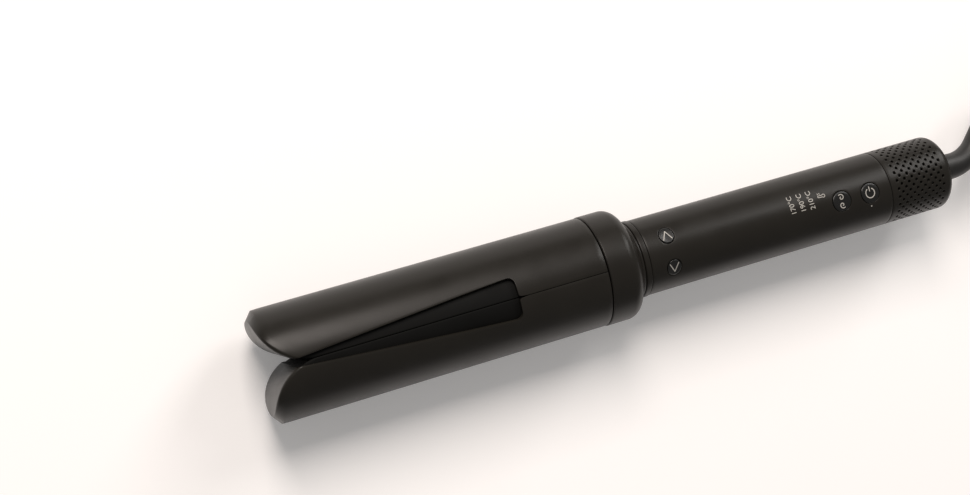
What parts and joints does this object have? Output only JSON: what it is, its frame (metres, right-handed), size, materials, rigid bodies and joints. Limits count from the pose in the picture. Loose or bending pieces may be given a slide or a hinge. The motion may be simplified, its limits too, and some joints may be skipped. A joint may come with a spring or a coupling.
{
  "type": "automatic hair curler",
  "caption": "Corded automatic hair curler: a barrel split into sprung jaws with floating heater plates, turned by a geared motor in a slim handle with keys.",
  "frame": {"origin": "bottom centre of the curler's bounding box, lead left out: under the middle of its length, on the plane the collar rests on", "axes": "+X from the jaw tips to the cord, along the barrel's axis; +Z the side with the keys; +Y completes the right-handed set, and the slit lies in the XZ plane"},
  "size_m": [0.628, 0.0631, 0.0506],
  "materials": {
    "black_shell": "satin black moulded plastic, fine texture",
    "black_liner": "matte black heat-resistant plastic",
    "black_key": "satin black moulded keys",
    "black_rubber": "matte black flexible sheath and moulded plug",
    "glass_filled_nylon": "dark glass-filled nylon",
    "white_acetal": "natural white acetal",
    "coated_aluminium": "dark ceramic-coated aluminium",
    "steel": "plain bright steel",
    "brass": "plain brass",
    "copper": "copper alloy contacts",
    "board_green": "green glass-epoxy board",
    "clear_lens": "translucent light guide",
    "ceramic": "fired ceramic heating strip"
  },
  "bodies": {
    "lead": {"strain_relief": "black_rubber", "cord_run": "black_rubber", "cord_hank": "black_rubber", "cord_end": "black_rubber", "cord_tie": "black_rubber", "plug_body": "black_rubber", "plug_prong_1": "brass", "plug_prong_2": "brass"},
    "handle": {"neck_ring": "black_shell", "front_bearing": "brass", "brush_block": "copper", "handle_shell_top": "black_shell", "handle_shell_bottom": "black_shell", "shell_screw": "steel", "switch_up": "white_acetal", "switch_down": "white_acetal", "switch_mode": "white_acetal", "switch_power": "white_acetal", "key_board": "board_green", "control_board": "board_green", "power_board": "board_green", "light_guide": "clear_lens", "tail_cap": "black_shell", "fan_frame": "glass_filled_nylon", "swivel_socket": "glass_filled_nylon", "ring_gear": "white_acetal", "motor_plate": "steel", "motor_can": "steel"},
    "head": {"collar": "black_shell", "head_chassis": "glass_filled_nylon", "hinge_pin_upper": "steel", "hinge_pin_lower": "steel", "jaw_spring_upper": "steel", "jaw_spring_lower": "steel", "slip_ring_rotor": "white_acetal", "contact_ring_1": "copper", "contact_ring_2": "copper", "planet_carrier": "glass_filled_nylon"},
    "sun": {"sun_pinion": "brass"},
    "planet_1": {"planet_gear_1": "white_acetal"},
    "planet_2": {"planet_gear_2": "white_acetal"},
    "planet_3": {"planet_gear_3": "white_acetal"},
    "fan": {"fan_rotor": "glass_filled_nylon"},
    "jaw_upper": {"jaw_shell_upper": "black_shell", "jaw_liner_upper": "black_liner", "jaw_arm_upper": "glass_filled_nylon"},
    "jaw_lower": {"jaw_shell_lower": "black_shell", "jaw_liner_lower": "black_liner", "jaw_arm_lower": "glass_filled_nylon"},
    "plate_upper": {"heater_plate_upper": "coated_aluminium", "heater_element_upper": "ceramic", "leaf_spring_upper": "steel"},
    "plate_lower": {"heater_plate_lower": "coated_aluminium", "heater_element_lower": "ceramic", "leaf_spring_lower": "steel"},
    "key_up": {"key_up": "black_key"},
    "key_down": {"key_down": "black_key"},
    "mode_button": {"mode_button": "black_key"},
    "power_button": {"power_button": "black_key"}
  },
  "joints": [
    {"name": "cord_swivel", "type": "hinge", "parent": "lead", "child": "handle", "pos_m": [0.165, 0, 0.0253], "axis": [1, 0, 0], "continuous": true},
    {"name": "head_spin", "type": "hinge", "parent": "handle", "child": "head", "pos_m": [0, 0, 0.0253], "axis": [1, 0, 0], "continuous": true},
    {"name": "sun_spin", "type": "hinge", "parent": "handle", "child": "sun", "pos_m": [0.0269, 0, 0.0253], "axis": [1, 0, 0], "continuous": true},
    {"name": "planet_1_spin", "type": "hinge", "parent": "head", "child": "planet_1", "pos_m": [0.0269, 0.0078, 0.0253], "axis": [1, 0, 0], "continuous": true},
    {"name": "planet_2_spin", "type": "hinge", "parent": "head", "child": "planet_2", "pos_m": [0.0269, -0.0039, 0.03206], "axis": [1, 0, 0], "continuous": true},
    {"name": "planet_3_spin", "type": "hinge", "parent": "head", "child": "planet_3", "pos_m": [0.0269, -0.0039, 0.01854], "axis": [1, 0, 0], "continuous": true},
    {"name": "fan_spin", "type": "hinge", "parent": "handle", "child": "fan", "pos_m": [0.138, 0, 0.0253], "axis": [1, 0, 0], "continuous": true},
    {"name": "jaw_upper_hinge", "type": "hinge", "parent": "head", "child": "jaw_upper", "pos_m": [-0.011, 0.017, 0.0253], "axis": [0, 0, -1], "range_deg": [0, 3.5], "stiffness_Nm_per_rad": 0.8, "springref_deg": -17.19},
    {"name": "jaw_lower_hinge", "type": "hinge", "parent": "head", "child": "jaw_lower", "pos_m": [-0.011, -0.017, 0.0253], "axis": [0, 0, 1], "range_deg": [0, 3.5], "stiffness_Nm_per_rad": 0.8, "springref_deg": -17.19},
    {"name": "plate_upper_float", "type": "slide", "parent": "jaw_upper", "child": "plate_upper", "axis": [0, 1, 0], "range_m": [0, 0.0006], "stiffness_N_per_m": 1500, "springref_m": -0.001},
    {"name": "plate_lower_float", "type": "slide", "parent": "jaw_lower", "child": "plate_lower", "axis": [0, -1, 0], "range_m": [0, 0.0006], "stiffness_N_per_m": 1500, "springref_m": -0.001},
    {"name": "key_up_press", "type": "slide", "parent": "handle", "child": "key_up", "axis": [0, 0, -1], "range_m": [0, 0.0004], "stiffness_N_per_m": 300, "springref_m": -0.0003},
    {"name": "key_down_press", "type": "slide", "parent": "handle", "child": "key_down", "axis": [0, 0, -1], "range_m": [0, 0.0004], "stiffness_N_per_m": 300, "springref_m": -0.0003},
    {"name": "mode_press", "type": "slide", "parent": "handle", "child": "mode_button", "axis": [0, 0, -1], "range_m": [0, 0.0005], "stiffness_N_per_m": 300, "springref_m": -0.0003},
    {"name": "power_press", "type": "slide", "parent": "handle", "child": "power_button", "axis": [0, 0, -1], "range_m": [0, 0.0005], "stiffness_N_per_m": 300, "springref_m": -0.0003}
  ],
  "couplings": [
    {"joint": "sun_spin", "follows": "head_spin", "ratio": 4},
    {"joint": "planet_1_spin", "follows": "head_spin", "ratio": -3},
    {"joint": "planet_2_spin", "follows": "head_spin", "ratio": -3},
    {"joint": "planet_3_spin", "follows": "head_spin", "ratio": -3}
  ]
}
